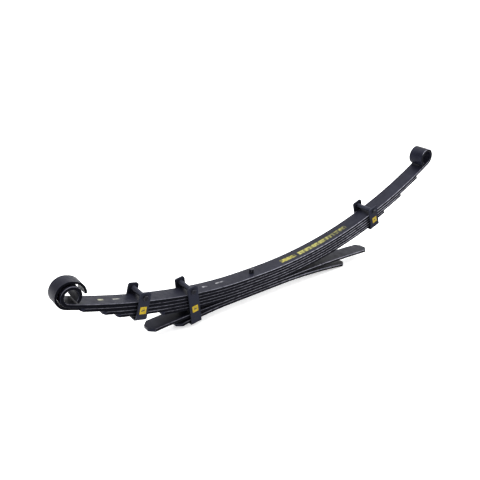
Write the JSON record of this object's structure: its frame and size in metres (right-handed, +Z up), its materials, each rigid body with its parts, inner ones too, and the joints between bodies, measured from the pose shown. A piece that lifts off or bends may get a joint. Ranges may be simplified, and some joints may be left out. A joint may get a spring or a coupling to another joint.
{
  "type": "leaf spring",
  "caption": "Multi-leaf rear spring for a pickup, black, with rolled eyes, military wrap, bolted rebound clips and flat overload leaves.",
  "frame": {"origin": "on the centre bolt axis, on the top face of the main leaf", "axes": "+X along the leaves towards the rear eye, +Y across the leaves, +Z up, the way both eyes turn"},
  "size_m": [1.6895, 0.107, 0.4206],
  "materials": {
    "leaf_paint": "satin",
    "strap_paint": "satin",
    "fastener": "satin",
    "sleeve": "satin",
    "liner": "matte",
    "clip_label": "matte"
  },
  "bodies": {
    "spring": {"main_leaf": "leaf_paint", "wrapper_leaf": "leaf_paint", "third_leaf": "leaf_paint", "fourth_leaf": "leaf_paint", "fifth_leaf": "leaf_paint", "upper_overload_leaf": "leaf_paint", "lower_overload_leaf": "leaf_paint", "centre_bolt": "fastener", "centre_bolt_nut": "fastener", "front_clip_strap": "strap_paint", "front_clip_bolt": "fastener", "front_clip_nut": "fastener", "front_clip_pad": "liner", "front_clip_rivet": "fastener", "front_clip_label": "clip_label", "middle_clip_strap": "strap_paint", "middle_clip_bolt": "fastener", "middle_clip_nut": "fastener", "middle_clip_pad": "liner", "middle_clip_rivet": "fastener", "middle_clip_label": "clip_label", "rear_clip_strap": "strap_paint", "rear_clip_bolt": "fastener", "rear_clip_nut": "fastener", "rear_clip_pad": "liner", "rear_clip_rivet": "fastener", "rear_clip_label": "clip_label"},
    "front_clip_sleeve": {"front_clip_sleeve": "sleeve"},
    "middle_clip_sleeve": {"middle_clip_sleeve": "sleeve"},
    "rear_clip_sleeve": {"rear_clip_sleeve": "sleeve"}
  },
  "joints": [
    {"name": "front_clip_sleeve_turn", "type": "hinge", "parent": "spring", "child": "front_clip_sleeve", "pos_m": [-0.45409, 0, 0.07245], "axis": [0, 1, 0], "continuous": true},
    {"name": "middle_clip_sleeve_turn", "type": "hinge", "parent": "spring", "child": "middle_clip_sleeve", "pos_m": [-0.27942, 0, 0.03549], "axis": [0, 1, 0], "continuous": true},
    {"name": "rear_clip_sleeve_turn", "type": "hinge", "parent": "spring", "child": "rear_clip_sleeve", "pos_m": [0.59579, 0, 0.11239], "axis": [0, 1, 0], "continuous": true}
  ]
}
